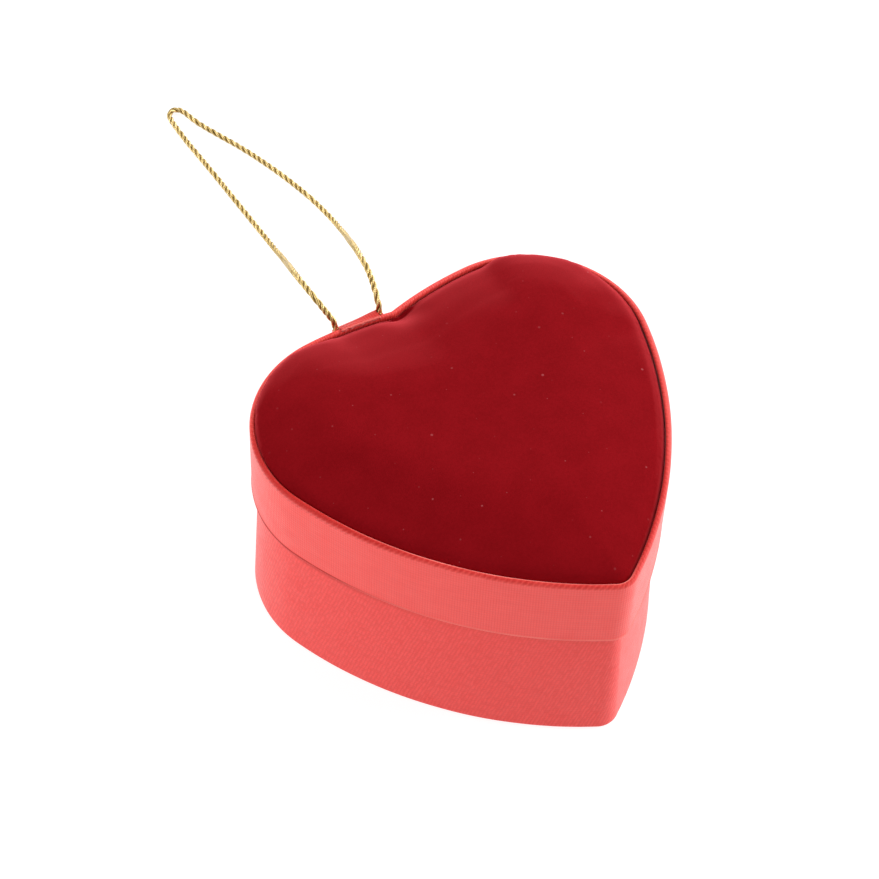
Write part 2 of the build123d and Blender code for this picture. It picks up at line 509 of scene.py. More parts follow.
# Where most of a noise lies, and the roughness at its two ends
NOISE = (0.3, 0.7)
LID_ROUGHNESS = (0.33, 0.45)
BASE_ROUGHNESS = (0.42, 0.52)
GOLD_ROUGHNESS = (0.42, 0.24)
PAPER_ROUGHNESS = (0.75, 0.95)

LID_LIGHT = (0.98, 0.105, 0.092, 1)
LID_DARK = (0.87, 0.072, 0.063, 1)
# Painted shade of the ribbon rolled over the rim, and of the ribbon end's folded top
LID_ROLL_SHADE = (0.62, 0.022, 0.017, 1)
LID_SHADED = (0.50, 0.016, 0.013, 1)
# Painted highlight on the selvedge towards the point, also the lighter inner lip and the frayed edge's
# wear
LID_WEAR_AND_HIGHLIGHT = (0.98, 0.20, 0.17, 1)
BASE_LIGHT = (0.94, 0.085, 0.076, 1)
BASE_DARK = (0.79, 0.052, 0.046, 1)
BASE_LID_SHADOW = (0.66, 0.034, 0.029, 1)
VELVET_LIGHT = (0.25, 0.0030, 0.0065, 1)
VELVET_DARK = (0.22, 0.0022, 0.0050, 1)
VELVET_PAINTED_SHEEN = (0.40, 0.024, 0.030, 1)
VELVET_SHEEN = (1.0, 0.13, 0.16, 1)
LINT = (0.50, 0.13, 0.14, 1)
GOLD_LIGHT = (0.80, 0.60, 0.27, 1)
GOLD_DARK = (0.43, 0.30, 0.10, 1)
PAPER_LIGHT = (0.46, 0.026, 0.024, 1)
PAPER_DARK = (0.36, 0.016, 0.016, 1)
CARD_LIGHT = (0.56, 0.53, 0.48, 1)
CARD_DARK = (0.40, 0.37, 0.33, 1)
WHITE = (1, 1, 1, 1)

# Where the lid's ribbon is rolled over the rim and has a painted shade, and where its inner lip is
# lighter, from the crest; where its selvedge ends; how it changes towards the point and the left; and
# where the painted shade on the roll thins out towards the point and the lobes
ROLL_FROM = -1.2
ROLL_TO = -0.15
ROLL_TICKS = 0.9
TICK_PITCH = 0.85
TICK_LEAN = 0.8
LIP_FROM = 0.0
LIP_TO = 0.2
HEM_FROM = 0.6
HEM_TO = 0.75
POINTWARDS_FROM_Y = 2.0
POINTWARDS_TO_Y = -14.0
LEFTWARDS_FROM_X = 5.0
LEFTWARDS_TO_X = -2.0
POINT_SHADE_LIFT = 0.65
LOBE_SHADE_LIFT = 1.6
SHADE_LIFT_FROM_X = 8.0
SHADE_LIFT_TO_X = 24.0
SHADE_LIFT_FROM_Y = 16.0
SHADE_LIFT_TO_Y = 26.0

# How far the pile is seen from its side where its painted sheen starts, and where it is strongest
SHINE_FROM = 0.34
SHINE_TO = 0.64

# Lint: cells a millimetre, the chance above which a cell has a speck, its largest size and soft edge
# as shares of a cell, and how strongly it shows
LINT_CELLS = 0.2
LINT_CHANCE = 0.55
LINT_SIZE = 0.03
LINT_EDGE = 0.02
LINT_STRENGTH = 0.5

# The ribbon's folded end, whose cloth lengths run up to 0 at its frayed edge, and how much painted shade
# its fold has
FOLD_SHADE = 0.5
FRAYED_FROM = -0.4
FRAYED_TO = -0.15

# Where the base's ribbon has a painted shadow of the lid, below the lid's edge, and how much of it is left
# at the point
LID_SHADOW_FROM = -2.4
LID_SHADOW_TO = -1.6
LID_SHADOW_AT_POINT = 0.15


def lid_weave(name, crest=None):
    """Plain woven ribbon: a fine grid of threads. Where it has a crest, a length across the cloth,
    it is rolled over the rim there, with a painted shade in deep red that thins out towards the lobes
    and the point; its selvedge has a painted shadow that turns into a painted highlight towards the
    point, and its inner lip is lighter towards the point. Where it has none, it is the ribbon's end,
    whose folded top has a painted shade and a frayed edge."""
    shader = Shader(name, Sheen_Weight=0.3, Sheen_Roughness=0.3, Specular_IOR_Level=0.2)
    along, across = shader.cloth()
    warp = shader.math("POWER", shader.ribs(along, WARP), 0.7)
    weft = shader.math("POWER", shader.ribs(across, WEFT), 0.4)
    threads = shader.math("MULTIPLY", warp, weft)
    slub = shader.streaks(along, across, *LID_SLUB)
    depth = shader.weighted(threads, 0.6, slub, 0.6)
    colour = shader.mix(shader.ramp(depth, 0.25, 0.95), LID_DARK, LID_LIGHT)
    if crest:
        past = shader.math("SUBTRACT", across, crest)
        leaning = shader.math("ADD", along, shader.math("MULTIPLY", past, TICK_LEAN))
        uneven = shader.streaks(along, across, *TICKS_UNEVEN)
        ticks = shader.math("MULTIPLY", shader.ribs(leaning, TICK_PITCH), uneven)
        ragged = shader.math("ADD", past, shader.math("MULTIPLY", ticks, ROLL_TICKS))
        pointwards = shader.ramp(shader.along_axis("Y"), POINTWARDS_FROM_Y, POINTWARDS_TO_Y)
        # Painted shade in deep red on the ribbon rolled over the rim, thinning out towards the lobes and
        # the point
        rightwards = shader.ramp(shader.along_axis("X"), SHADE_LIFT_FROM_X, SHADE_LIFT_TO_X)
        backwards = shader.ramp(shader.along_axis("Y"), SHADE_LIFT_FROM_Y, SHADE_LIFT_TO_Y)
        lobes = shader.math("MULTIPLY", shader.math("MAXIMUM", rightwards, backwards), LOBE_SHADE_LIFT)
        shade_lift = shader.math("MAXIMUM", shader.math("MULTIPLY", pointwards, POINT_SHADE_LIFT), lobes)
        rolled = shader.ramp(shader.math("SUBTRACT", ragged, shade_lift), ROLL_FROM, ROLL_TO)
        colour = shader.mix(rolled, colour, LID_ROLL_SHADE)
        patchy = shader.ramp(shader.streaks(along, across, *EDGE_PATCHES), 0.35, 0.6, 0.4, 1.0)
        # Painted shadow along the selvedge, turning into a painted highlight towards the point
        hem = shader.math("MULTIPLY", shader.ramp(across, HEM_FROM, HEM_TO, 1.0, 0.0), patchy)
        colour = shader.mix(hem, colour, shader.mix(pointwards, LID_SHADED, LID_WEAR_AND_HIGHLIGHT))
        # The rim's inner lip is lighter towards the point and the left
        leftwards = shader.ramp(shader.along_axis("X"), LEFTWARDS_FROM_X, LEFTWARDS_TO_X)
        lip = shader.math("MULTIPLY", shader.ramp(past, LIP_FROM, LIP_TO), patchy)
        pale_lip = shader.math("MULTIPLY", lip, shader.math("MULTIPLY", pointwards, leftwards))
        colour = shader.mix(pale_lip, colour, LID_WEAR_AND_HIGHLIGHT)
    else:
        # Painted shade on the folded top, half way to the roll's deep red; the frayed edge is worn lighter
        folded = shader.math("LESS_THAN", across, 0.0)
        colour = shader.mix(shader.math("MULTIPLY", folded, FOLD_SHADE), colour, LID_ROLL_SHADE)
        frayed = shader.math("MULTIPLY", folded, shader.ramp(across, FRAYED_FROM, FRAYED_TO))
        colour = shader.mix(frayed, colour, LID_WEAR_AND_HIGHLIGHT)
    shader.colour(colour)
    shader.roughness(shader.ramp(shader.noise(RIBBON_CLOUDS), *NOISE, *LID_ROUGHNESS))
    shader.relief(threads, *THREAD_RELIEF)
    return shader.material


def base_twill():
    """Twill ribbon: fine slanting ribs, broken along them, with a painted shadow of the lid in deeper red
    below the lid's edge.
    """
    shader = Shader("base_ribbon_twill", Sheen_Weight=0.3, Sheen_Roughness=0.3, Specular_IOR_Level=0.2)
    along, across = shader.cloth()
    leaning = shader.weighted(along, math.cos(TWILL_SLANT), across, math.sin(TWILL_SLANT))
    wander = shader.math("MULTIPLY", shader.streaks(along, across, *TWILL_WAVER), TWILL_WANDER)
    twill = shader.ribs(shader.math("ADD", leaning, wander), TWILL)
    threads = shader.ribs(across, WEFT)
    breaks = shader.ramp(shader.streaks(leaning, across, *TWILL_BREAKS), 0.35, 0.62, 0.15, 1.0)
    both = shader.weighted(twill, breaks, threads, 0.2)
    slub = shader.noise(BASE_SLUB)
    depth = shader.math("ADD", both, shader.math("MULTIPLY", slub, 0.4))
    colour = shader.mix(shader.ramp(depth, 0.05, 1.2), BASE_DARK, BASE_LIGHT)
    # Painted shadow of the lid: deeper red below the lid's edge, weaker towards the point
    below = shader.math("SUBTRACT", shader.along_axis("Z"), lid_low.z)
    shaded = shader.ramp(shader.along_axis("Y"), POINTWARDS_FROM_Y, POINTWARDS_TO_Y, 1.0, LID_SHADOW_AT_POINT)
    lid_shadow = shader.math("MULTIPLY", shader.ramp(below, LID_SHADOW_FROM, LID_SHADOW_TO), shaded)
    shader.colour(shader.mix(lid_shadow, colour, BASE_LID_SHADOW))
    shader.roughness(shader.ramp(shader.noise(RIBBON_CLOUDS), *NOISE, *BASE_ROUGHNESS))
    shader.relief(both, *THREAD_RELIEF)
    return shader.material


def velvet():
    """Deep red velvet: a short pile, painted lighter as sheen where its slopes are seen from the side,
    with specks of lint.
    """
    shader = Shader("velvet", Roughness=1.0, Sheen_Weight=1.0, Sheen_Roughness=0.3,
                    Sheen_Tint=VELVET_SHEEN, Specular_IOR_Level=0.05)
    where = shader.place()
    brushed = shader.noise(BRUSHED, 4.0, where)
    pile = shader.noise(PILE, 2.0, where)
    grain = shader.noise(GRAIN, 2.0, where)
    uneven = shader.weighted(brushed, 0.5, grain, 0.5)
    nap = shader.mix(shader.ramp(uneven, 0.38, 0.62), VELVET_DARK, VELVET_LIGHT)
    # Painted sheen: the colour turns lighter where the surface is seen from the side
    sloping = shader.node("ShaderNodeLayerWeight", {"Blend": 0.5}).outputs["Facing"]
    nap = shader.mix(shader.ramp(sloping, SHINE_FROM, SHINE_TO), nap, VELVET_PAINTED_SHEEN)
    cells = {"Vector": where, "Scale": LINT_CELLS}
    dots = shader.node("ShaderNodeTexVoronoi", cells, voronoi_dimensions="2D")
    chance = shader.node("ShaderNodeSeparateColor", {"Color": dots.outputs["Color"]})
    size = shader.ramp(chance.outputs["Red"], LINT_CHANCE, 1.0, 0.0, LINT_SIZE)
    outside = shader.math("SUBTRACT", dots.outputs["Distance"], size)
    lint = shader.ramp(outside, 0.0, LINT_EDGE, LINT_STRENGTH, 0.0)
    faint = shader.math("MULTIPLY", lint, chance.outputs["Green"])
    shader.colour(shader.mix(faint, nap, LINT))
    shader.relief(pile, *PILE_RELIEF)
    return shader.material


def gold():
    """Metal thread: gold foil wound round each strand, with glossier patches painted lighter as glints,
    and a painted shade where a strand faces in towards the others.
    """
    shader = Shader("gold_thread", Metallic=1.0)
    around, along = shader.cloth()
    # Painted shade: darker where a strand faces in towards the others
    turned = shader.math("SUBTRACT", shader.math("MULTIPLY", around, 2.0), 1.0)
    outer = shader.math("ABSOLUTE", turned)
    wound = shader.math("ADD", along, shader.math("MULTIPLY", around, FOIL_LEAN))
    foil = shader.ribs(wound, FOIL)
    # Glints: random patches that are glossier and painted lighter
    glint = shader.ramp(shader.noise(GLINTS, 5.0), 0.36, 0.64)
    shine = shader.weighted(foil, 0.2, glint, 0.6)
    tone = shader.math("ADD", shader.ramp(outer, 0.5, 0.9, -0.25, 0.35), shine)
    shader.colour(shader.mix(shader.ramp(tone, 0.1, 0.95), GOLD_DARK, GOLD_LIGHT))
    shader.roughness(shader.ramp(glint, 0.0, 1.0, *GOLD_ROUGHNESS))
    shader.relief(foil, *FOIL_RELIEF)
    return shader.material


def paper(name, dark, light):
    """Pulp paper or card: fibres and faint clouding."""
    shader = Shader(name, Roughness=0.85)
    cloud = shader.noise(PAPER_CLOUDS)
    fibre = shader.noise(FIBRES, 6.0)
    both = shader.weighted(cloud, 0.5, fibre, 0.5)
    shader.colour(shader.mix(shader.ramp(both, 0.35, 0.65), dark, light))
    shader.roughness(shader.ramp(fibre, *NOISE, *PAPER_ROUGHNESS))
    shader.relief(fibre, *FIBRE_RELIEF)
    return shader.material


# Gold cord


def route_line(name, points):
    """Points of the smooth line that a cord takes along its route, in millimetres."""
    curve = bpy.data.curves.new(name, "CURVE")
    curve.dimensions = "3D"
    curve.resolution_u = ROUTE_STEPS
    spline = curve.splines.new("NURBS")
    spline.points.add(len(points) - 1)
    for place, point in zip(spline.points, points):
        place.co = (*(Vector(point) * MM), 1.0)
    spline.order_u = 3
    spline.use_endpoint_u = True
    carrier = bpy.data.objects.new(name, curve)
    line = bpy.data.meshes.new_from_object(carrier)
    places = np.array([vertex.co for vertex in line.vertices]) / MM
    bpy.data.objects.remove(carrier)
    bpy.data.curves.remove(curve)
    bpy.data.meshes.remove(line)
    return places


def even_line(line):
    """The same line with its points at even steps."""
    run = lengths(line, closed=False)
    apart = np.concatenate([[True], np.diff(run) > 0])
    stops = np.linspace(0, run[-1], round(run[-1] / STRAND_STEP) + 1)
    return np.stack([np.interp(stops, run[apart], values) for values in line[apart].T], axis=1)


def directions(line):
    """Unit directions along a line."""
    along = np.gradient(line, axis=0)
    return along / np.linalg.norm(along, axis=1)[:, None]


def carried_frames(line):
    """Two directions square to a line at each point, carried along it without turning about it."""
    along = directions(line)
    first = np.cross(along[0], FIRST_SIDE)
    normals = []
    for direction in along:
        first = first - direction * (first @ direction)
        first = first / np.linalg.norm(first)
        normals.append(first)
    normals = np.array(normals)
    return normals, np.cross(along, normals)


def tube_mesh(name, line, radius, facing):
    """A round tube along a line, closed at both ends, whose map goes round from where it faces."""
    across = np.cross(directions(line), facing)
    across /= np.linalg.norm(across, axis=1)[:, None]
    angles = np.linspace(0, 2 * math.pi, STRAND_SIDES, endpoint=False)
    rings = [line + radius * (math.cos(a) * facing + math.sin(a) * across) for a in angles]
    points = np.stack(rings, axis=1)
    around = np.linspace(0, 1, STRAND_SIDES + 1)
    return grid_mesh(name, points, around, lengths(line, closed=False), wrap_columns=True)


def laid_strands(name, line):
    """Strands laid round each other along a line, here tighter and there looser, as one mesh."""
    first, second = carried_frames(line)
    run = lengths(line, closed=False)
    wander = np.array([noise.noise(Vector((length / LAY_WANDER_LENGTH, 0.5, 0.5))) for length in run])
    turned = 2 * math.pi * run / LAY_PITCH + LAY_WANDER * wander
    strands = []
    for strand in range(STRANDS):
        angle = turned + 2 * math.pi * strand / STRANDS
        beside = np.cos(angle)[:, None] * first + np.sin(angle)[:, None] * second
        strands.append(tube_mesh(name, line + LAY_RADIUS * beside, STRAND_RADIUS, beside))
    return joined_mesh(name, strands)


def exit_point(x, z):
    """A point in the pocket behind the rim, or just above it, where the cord comes out."""
    return (x, back_y(x, -TAIL_THICKNESS / 2), z)


def make_cord(material):
    """The hanging loop, from the pocket under the ribbon's end and back into it."""
    lifted = lid_high.z + EXIT_LIFT
    sunk = lid_high.z - POCKET_DEPTH
    left = [exit_point(LEFT_EXIT_X, sunk), exit_point(LEFT_EXIT_X, lifted)]
    right = [exit_point(RIGHT_EXIT_X, lifted), exit_point(RIGHT_EXIT_X, sunk)]
    line = even_line(route_line("loop_route", left + LOOP_ROUTE + right))
    loop = add_piece("gold_loop", laid_strands("gold_loop", line), material)
    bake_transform(loop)
    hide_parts("hanging_loop")


def make_tails(material):
    """The cord's two ends, pressed flat under the ribbon's end."""
    ends = []
    for x in (LEFT_EXIT_X, RIGHT_EXIT_X):
        middle = exit_point(x, lid_high.z)
        line = even_line(np.array([middle, exit_point(x, lid_high.z - TAIL_LENGTH)]))
        mesh = laid_strands("cord_end", line)
        for vertex in mesh.vertices:
            vertex.co.y = middle[1] * MM + (vertex.co.y - middle[1] * MM) * TAIL_THICKNESS / CORD_DIAMETER
        ends.append(mesh)
    tails = add_piece("cord_ends", joined_mesh("cord_ends", ends), material)
    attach(tails, "lid")
    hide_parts("cord_tails")


# Ribbons


def lid_profile():
    """The face of the lid's ribbon, from its selvedge up the rim and over its top into the tray."""
    low = lid_low.z
    high = lid_high.z
    half = RIM_WALL / 2
    bead = (SELVEDGE_RADIUS - SELVEDGE_PROUD, low + SELVEDGE_RADIUS)
    face = np.linspace(low + 3 * SELVEDGE_RADIUS, high - RIM_WALL, FACE_ROWS)
    profile = arc_profile(bead, SELVEDGE_RADIUS, -60, -220)
    profile += [(0.0, z) for z in face]
    profile += arc_profile((half, high - half), half, 180, 0)
    profile.append((RIM_WALL, tray_z))
    return profile


def crest_length(profile):
    """The length along a profile at which it is highest."""
    heights = [z for inset, z in profile]
    return lengths(np.array(profile), closed=False)[np.argmax(heights)]


def make_lid_ribbon():
    """Ribbon round the lid's rim, rolled over its top edge into the tray."""
    outer = lid_profile()
    card_top = lid_high.z - RIBBON
    inner = [(RIM_INSIDE, tray_z), (RIM_INSIDE, card_top), (RIBBON, card_top), (RIBBON, lid_low.z)]
    material = lid_weave("lid_ribbon_weave", crest_length(outer))
    ribbon = ribbon_piece("lid_ribbon_cover", outer, inner, material)
    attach(ribbon, "lid")
    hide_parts("lid_ribbon")
    return ribbon


def make_base_ribbon(material):
    """Ribbon round the base, folded under it and over its top edge to the inside."""
    low = base_low.z
    high = base_high.z
    inside = WALL_INSIDE + RIBBON
    hem = high - BASE_HEM
    outer = [(inside, hem), (inside, hem + RIBBON / 2)]
    outer += arc_profile((inside - BASE_TOP_ROUND, high - BASE_TOP_ROUND), BASE_TOP_ROUND, 0, 90)
    outer += arc_profile((BASE_TOP_ROUND, high - BASE_TOP_ROUND), BASE_TOP_ROUND, 90, 180)
    outer += [(0.0, z) for z in np.linspace(high - 2 * BASE_TOP_ROUND, low + 2 * BASE_FOLD, 2 * FACE_ROWS)]
    outer += arc_profile((BASE_FOLD, low + BASE_FOLD), BASE_FOLD, 180, 270)
    outer.append((WALL_INSIDE, low))
    inner = [(WALL_INSIDE, low + RIBBON), (RIBBON, low + RIBBON), (RIBBON, high - RIBBON),
             (WALL_INSIDE, high - RIBBON), (WALL_INSIDE, hem)]
    outer = [(base_inset(z) + depth, z) for depth, z in outer]
    inner = [(base_inset(z) + depth, z) for depth, z in inner]
    ribbon = ribbon_piece("base_ribbon_cover", outer, inner, material)
    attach(ribbon, "base")
    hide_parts("base_ribbon")
    return ribbon


def ease(value, low, high):
    """A smooth step from 0 at low to 1 at high."""
    share = min(max((value - low) / (high - low), 0.0), 1.0)
    return share * share * (3 - 2 * share)


def between_exits(x):
    """How far a place is on its way from the left cord end to the right one, from 0 to 1."""
    return min(max((x - LEFT_EXIT_X) / (RIGHT_EXIT_X - LEFT_EXIT_X), 0.0), 1.0)


def tab_gap(x, z):
    """How far the ribbon's end stands off the rim, over the two cord ends under it."""
    end = RIGHT_EXIT_X + TAB_OVERHANG
    rise = ease(x, LEFT_EXIT_X - TAB_EASE, LEFT_EXIT_X - TAIL_THICKNESS / 2)
    fall = 1 - TAB_HUG * ease(x, RIGHT_EXIT_X + TAB_OVERHANG / 2, end)
    slack = 1 - TAB_SLACK * math.sin(math.pi * between_exits(x)) ** 2
    tail_end = lid_high.z - TAIL_LENGTH
    below = TAB_LOW_GAP + (1 - TAB_LOW_GAP) * ease(z, tail_end - 2 * TAB_EASE, tail_end)
    return TAIL_THICKNESS * rise * fall * slack * below


def tab_top(x):
    """Height of the top of the ribbon's end, which rises from the left cord end to the right one."""
    lift = TAB_LEFT_LIFT + (TAB_RIGHT_LIFT - TAB_LEFT_LIFT) * between_exits(x)
    return lid_high.z + lift - TAB_END_FALL * ease(x, RIGHT_EXIT_X, RIGHT_EXIT_X + TAB_OVERHANG)


def tab_mesh():
    """The end of the lid's ribbon where it stands behind the rim, over the cord's two ends."""
    half = RIBBON / 2
    shares = np.linspace(0, 1, FACE_ROWS)
    profile = [(RIBBON, share, 0.0) for share in shares]
    profile += [(half + off, 1.0, up) for off, up in arc_profile((0.0, 0.0), half, 0, 180)[1:-1]]
    profile += [(0.0, share, 0.0) for share in shares[::-1]]
    across = np.linspace(LEFT_EXIT_X - TAB_OVERHANG - TAB_EASE, RIGHT_EXIT_X + TAB_OVERHANG, TAB_COLUMNS)
    rows = []
    for off, share, up in profile:
        heights = [lid_low.z + share * (tab_top(x) - half - lid_low.z) + up for x in across]
        rows.append([(x, back_y(x, -off - tab_gap(x, z)), z) for x, z in zip(across, heights)])
    height = lid_high.z - lid_low.z
    flat = np.array([(off, lid_low.z + share * height) for off, share, up in profile])
    return grid_mesh("ribbon_end", np.array(rows), -across, lengths(flat), wrap_rows=True)


def rim_top(inset):
    """Height of the lid's rim where it is rounded, so far in from the outline."""
    half = RIM_WALL / 2
    return lid_high.z - half + math.sqrt(max(half**2 - (inset - half) ** 2, 0.0))


def fold_mesh():
    """The top of the ribbon's end, folded over the rim between the cord's two ends, with a ragged edge."""
    half = RIBBON / 2
    shares = np.linspace(0, 1, FOLD_STEPS)
    profile = [(share, half) for share in shares] + [(share, -half) for share in shares[::-1]]
    across = np.linspace(LEFT_EXIT_X + FOLD_CLEAR, RIGHT_EXIT_X - FOLD_CLEAR, TAB_COLUMNS)
    rows = []
    for share, up in profile:
        row = []
        for x in across:
            outer = half + tab_gap(x, lid_high.z)
            reach = FOLD_REACH + FOLD_RAGGED * noise.noise(Vector((x / FOLD_RAGGED_LENGTH, 0.0, 0.0)))
            inset = share * (outer + reach) - outer
            start = tab_top(x) - half
            z = start + share * (rim_top(reach) + half - start) + FOLD_BULGE * math.sin(math.pi * share)
            if inset > 0:
                z = max(z, rim_top(inset) + half)
            row.append((x, back_y(x, inset), z + up))
        rows.append(row)
    run = TAIL_THICKNESS + RIBBON + FOLD_REACH
    along = np.array([(share - 1) * run for share, up in profile] + [-run])
    return grid_mesh("ribbon_fold", np.array(rows), -across, along, wrap_rows=True)


def make_tab(material):
    """The end of the lid's ribbon, lapped over its start and over the cord's two ends."""
    mesh = joined_mesh("ribbon_end", [tab_mesh(), fold_mesh()])
    tab = add_piece("ribbon_end", mesh, material)
    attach(tab, "lid")
    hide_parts("ribbon_tab")
    return tab


# Velvet pad


def fullness(ring):
    """How full the pad's shoulder is, up to 1 behind each lobe."""
    full = np.zeros(len(ring))
    for sign, levels in ((1, FULL_RIGHT), (-1, FULL_LEFT)):
        turned = np.arctan2(ring[:, 1] - lobe_line_y, sign * ring[:, 0] - lobe[0])
        near = sign * ring[:, 0] > 0
        full += near * np.interp(np.degrees(turned), *np.transpose(levels), left=0.0, right=0.0)
    return full


def pad_form():
    """The pad before it is filled: flat below, upright at the rim or spilling over it, rounded above."""
    edge = heart_ring(RIM_WALL)
    full = fullness(edge)
    raised = np.minimum(full / FULL_NECK, 1.0)
    neck = lid_high.z - PAD_EDGE_DROP + (PAD_EDGE_DROP + SPILL_CLEAR) * raised
    gap = PAD_GAP * (1 - raised)
    shift = SPILL * np.maximum(full - FULL_NECK, 0.0) / (1 - FULL_NECK) - gap
    run = PAD_RUN + (FULL_RUN - PAD_RUN) * full
    rise = crown_z - PAD_CROWN_DROP - neck
    rows = []
    foot = neck - PAD_GROOVE * (1 - raised)
    for share in np.linspace(0, 1, PAD_SIDE_ROWS):
        rows.append(np.column_stack([edge, tray_z + share * (foot - tray_z)]))
    for depth in PAD_INNER * np.linspace(0, 1, PAD_TOP_ROWS) ** 2:
        ring = heart_ring(RIM_WALL + depth)
        ring += outward(ring) * (shift * max(1 - depth / SPILL_FADE, 0.0))[:, None]
        left = 1 - np.minimum(depth / run, 1.0)
        height = neck + rise * np.sqrt(1 - left**2)
        rows.append(np.column_stack([ring, height]))
    inner = rows[-1]
    centre = np.array([*PAD_CENTRE, inner[:, 2].mean()])
    for share in PAD_MIDDLE_ROWS:
        rows.append(centre + (inner - centre) * share)
    return np.array(rows)


def crease(x, y):
    """How far the pad is drawn down beside the notch."""
    away = math.dist((x, y), CREASE_PLACE) / CREASE_WIDTH
    return CREASE_DEPTH * math.exp(-(away**2))


def fill_pad(pad):
    """Blows the pad up as a cloth bag that is held at its sides, and returns where its points go."""
    held = pad.vertex_groups.new(name="held")
    for vertex in pad.data.vertices:
        height = vertex.co.z / (MM * SIM_SCALE)
        hold = 1 - ease(height, lid_high.z - PAD_EDGE_DROP, lid_high.z + PAD_EDGE_DROP)
        held.add([vertex.index], hold, "REPLACE")
    cloth = pad.modifiers.new("filling", "CLOTH")
    cloth.settings.vertex_group_mass = held.name
    cloth.settings.use_pressure = True
    cloth.settings.uniform_pressure_force = PAD_PRESSURE
    cloth.settings.effector_weights.gravity = 0.0
    cloth.settings.bending_stiffness = PAD_BENDING
    cloth.point_cache.frame_start = 1
    cloth.point_cache.frame_end = PAD_FRAMES
    scene = bpy.context.scene
    for step in range(1, PAD_FRAMES + 1):
        scene.frame_set(step)
    filled = pad.evaluated_get(bpy.context.evaluated_depsgraph_get()).to_mesh()
    places = np.array([vertex.co for vertex in filled.vertices])
    scene.frame_set(1)
    pad.modifiers.remove(cloth)
    return places


def smoothed(values, mesh, rounds):
    """Values at a mesh's points, each averaged with its neighbours so many times."""
    ends = np.empty(2 * len(mesh.edges), dtype=int)
    mesh.edges.foreach_get("vertices", ends)
    first, second = ends.reshape(-1, 2).T
    neighbours = np.bincount(ends, minlength=len(values))[:, None]
    for _ in range(rounds):
        near = np.zeros_like(values)
        np.add.at(near, first, values[second])
        np.add.at(near, second, values[first])
        values = (values + near / neighbours) / 2
    return values


def make_pad(material):
    """The velvet pad in the lid's tray."""
    form = pad_form()
    mesh = grid_mesh("pad_form", form * SIM_SCALE, RING_LENGTHS, np.arange(len(form)), wrap_columns=True)
    pad = add_piece("velvet_pad", mesh, material)
    voxels = pad.modifiers.new("even_faces", "REMESH")
    voxels.mode = "VOXEL"
    voxels.voxel_size = PAD_VOXEL * MM * SIM_SCALE
    even = bpy.data.meshes.new_from_object(pad.evaluated_get(bpy.context.evaluated_depsgraph_get()))
    pad.modifiers.remove(voxels)
    pad.data = even
    bpy.data.meshes.remove(mesh)
    bpy.context.view_layer.update()
    start = np.array([vertex.co for vertex in even.vertices])
    places = fill_pad(pad)
    start = start / (MM * SIM_SCALE)
    move = places / (MM * SIM_SCALE) - start
    far = np.linalg.norm(move, axis=1)
    move *= np.minimum(1.0, PAD_CAP / np.maximum(far, 1e-9))[:, None]
    move = smoothed(move, even, PAD_SMOOTHING)
    move[start[:, 2] < lid_high.z, :2] = 0.0
    above = start[:, 2] > lid_high.z
    start[above] = smoothed(start, even, PAD_EVENING)[above]
    places = start + move
    for place in places:
        if place[2] > lid_high.z - PAD_EDGE_DROP:
            place[2] -= crease(place[0], place[1])
    even.vertices.foreach_set("co", (places * MM).astype(np.float32).ravel())
    even.name = "velvet_pad"
    even.polygons.foreach_set("use_smooth", [True] * len(even.polygons))
    even.update()
    finer = pad.modifiers.new("finer", "SUBSURF")
    finer.levels = 1
    finer.render_levels = 1
    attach(pad, "lid")
    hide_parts("velvet_cover", "pad_wadding")


# Card and paper, whose solids show as they are


def finish_card_and_paper():
    """Gives the card and paper solids their materials."""
    red = paper("red_paper", PAPER_DARK, PAPER_LIGHT)
    grey = paper("grey_card", CARD_DARK, CARD_LIGHT)
    solids = {
        red: ("base_bottom_paper", "base_lining_wall", "base_lining_floor", "lid_lining"),
        grey: ("base_floor", "base_wall", "lid_rim", "lid_panel", "pad_board"),
    }
    for material, names in solids.items():
        for name in names:
            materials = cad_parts[name].data.materials
            materials.clear()
            materials.append(material)


# Stage, light and camera


FLOOR_HALF = 4.0
FLOOR_DROP = 0.00005
FLOOR_GREY = (0.3, 0.3, 0.3, 1)
FLOOR_GLOW = 0.85


def make_floor():
    """A wide pale floor, a hair below the box, that is clear when seen from below."""
    mesh = bpy.data.meshes.new("floor")
    square = [(-1, -1), (1, -1), (1, 1), (-1, 1)]
    corners = [(x * FLOOR_HALF, y * FLOOR_HALF, -FLOOR_DROP) for x, y in square]
    mesh.from_pydata(corners, [], [(0, 1, 2, 3)])
    shader = Shader("pale_floor", Roughness=0.9, Base_Color=FLOOR_GREY, Emission_Color=WHITE,
                    Emission_Strength=FLOOR_GLOW, Specular_IOR_Level=0.0)
    underside = shader.node("ShaderNodeNewGeometry").outputs["Backfacing"]
    clear = shader.node("ShaderNodeBsdfTransparent").outputs["BSDF"]
    shown = shader.node("ShaderNodeMixShader", {0: underside, 1: shader.surface.outputs["BSDF"], 2: clear})
    shader.put(shader.tree.nodes["Material Output"].inputs["Surface"], shown.outputs["Shader"])
    floor = add_piece("floor", mesh, shader.material)


# The lamps' names, places, sizes and powers, and where they point, in metres and watts
LAMPS = [
    ("left_lamp", (-0.55, 0.32, 0.35), 0.5, 2.4),
    ("right_lamp", (0.60, -0.25, 0.40), 0.5, 4.3),
    ("back_lamp", (0.60, 0.45, 0.32), 0.6, 3.2),
]
LAMP_AIM = Vector((0.0, 0.0, 0.03))


def add_softbox(name, place, size, power):
    """A square lamp that faces the box."""
    lamp = bpy.data.lights.new(name, "AREA")
    lamp.size = size
    lamp.energy = power
    box = bpy.data.objects.new(name, lamp)
    box.location = place
    aim = LAMP_AIM - Vector(place)
    box.rotation_mode = "QUATERNION"
    box.rotation_quaternion = aim.to_track_quat("-Z", "Y")
    bpy.context.scene.collection.objects.link(box)


# The way to the tent's dim side, and its range: from how far off and how near to that side it dims,
# and its strength at each
DIM_SIDE = (-0.368, -0.500, 0.784)
TENT_DIMMING = (0.0, 0.9, 0.7, 0.32)


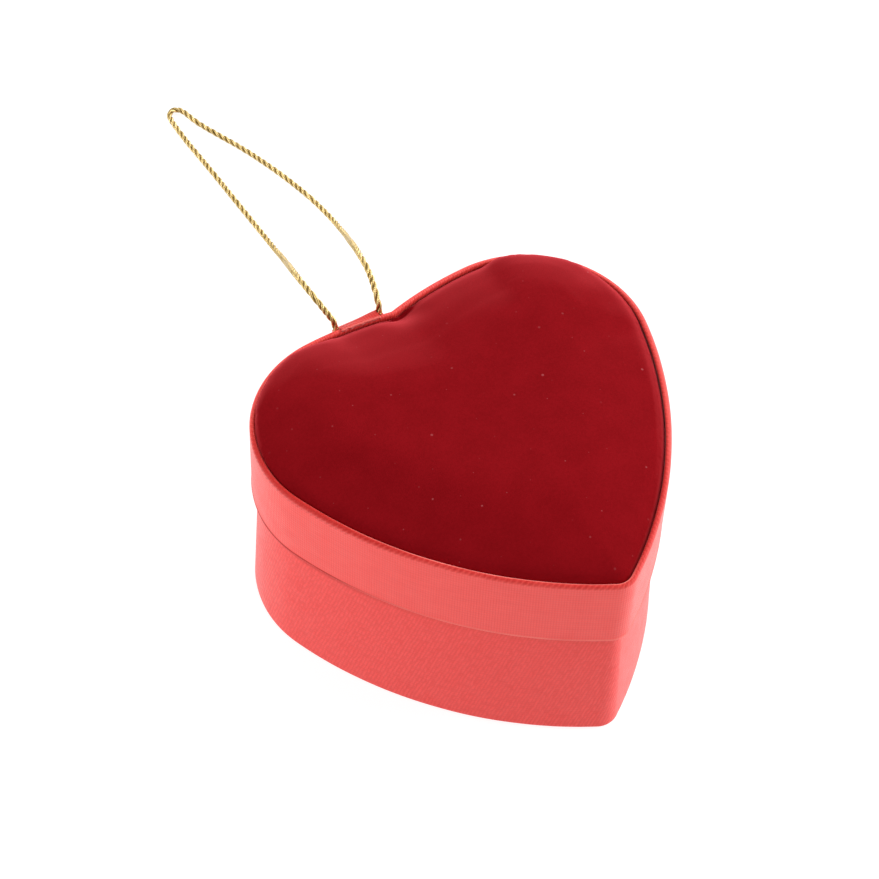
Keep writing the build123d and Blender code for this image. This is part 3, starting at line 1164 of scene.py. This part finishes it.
def make_light():
    """A bright tent, dimmer on one side, with soft lamps to the left, the right and behind."""
    scene = bpy.context.scene
    scene.world = bpy.data.worlds.new("tent")
    scene.world.use_nodes = True
    tree = scene.world.node_tree
    sky = tree.nodes["Background"]
    sky.inputs["Color"].default_value = WHITE
    where = tree.nodes.new("ShaderNodeTexCoord").outputs["Generated"]
    facing = tree.nodes.new("ShaderNodeVectorMath")
    facing.operation = "DOT_PRODUCT"
    facing.inputs[1].default_value = DIM_SIDE
    dimmed = tree.nodes.new("ShaderNodeMapRange")
    for socket, value in zip(("From Min", "From Max", "To Min", "To Max"), TENT_DIMMING):
        dimmed.inputs[socket].default_value = value
    tree.links.new(where, facing.inputs[0])
    tree.links.new(facing.outputs["Value"], dimmed.inputs["Value"])
    tree.links.new(dimmed.outputs["Result"], sky.inputs["Strength"])
    for lamp in LAMPS:
        add_softbox(*lamp)
    scene.view_settings.view_transform = "Standard"


# The camera fitted to the photograph's outline, with its place in millimetres
CAMERA_AZIMUTH = math.radians(-36.381)
CAMERA_ELEVATION = math.radians(51.598)
CAMERA_ROLL = math.radians(2.814)
CAMERA_DISTANCE = 420.943
CAMERA_TARGET = Vector((2.869, 19.104, 14.0))
CAMERA_LENS = 109.67
CAMERA_SENSOR = 36.0


def make_camera():
    """A camera where the photograph was taken from."""
    flat = math.cos(CAMERA_ELEVATION)
    back = Vector((math.sin(CAMERA_AZIMUTH) * flat, -math.cos(CAMERA_AZIMUTH) * flat,
                   math.sin(CAMERA_ELEVATION)))
    right = Vector((math.cos(CAMERA_AZIMUTH), math.sin(CAMERA_AZIMUTH), 0.0))
    up = back.cross(right)
    tilted_right = math.cos(CAMERA_ROLL) * right + math.sin(CAMERA_ROLL) * up
    tilted_up = back.cross(tilted_right)
    turn = Matrix((tilted_right, tilted_up, back)).transposed()
    lens = bpy.data.cameras.new("camera")
    lens.sensor_width = CAMERA_SENSOR
    lens.lens = CAMERA_LENS
    camera = bpy.data.objects.new("camera", lens)
    place = (CAMERA_TARGET + back * CAMERA_DISTANCE) * MM
    camera.matrix_world = Matrix.Translation(place) @ turn.to_4x4()
    bpy.context.scene.collection.objects.link(camera)
    bpy.context.scene.camera = camera


metal_thread = gold()
make_cord(metal_thread)
make_tails(metal_thread)
tab = make_tab(lid_weave("ribbon_end_weave"))
lid_ribbon = make_lid_ribbon()
base_ribbon = make_base_ribbon(base_twill())
make_pad(velvet())
finish_card_and_paper()
make_floor()
make_light()
make_camera()

bpy.context.view_layer.update()
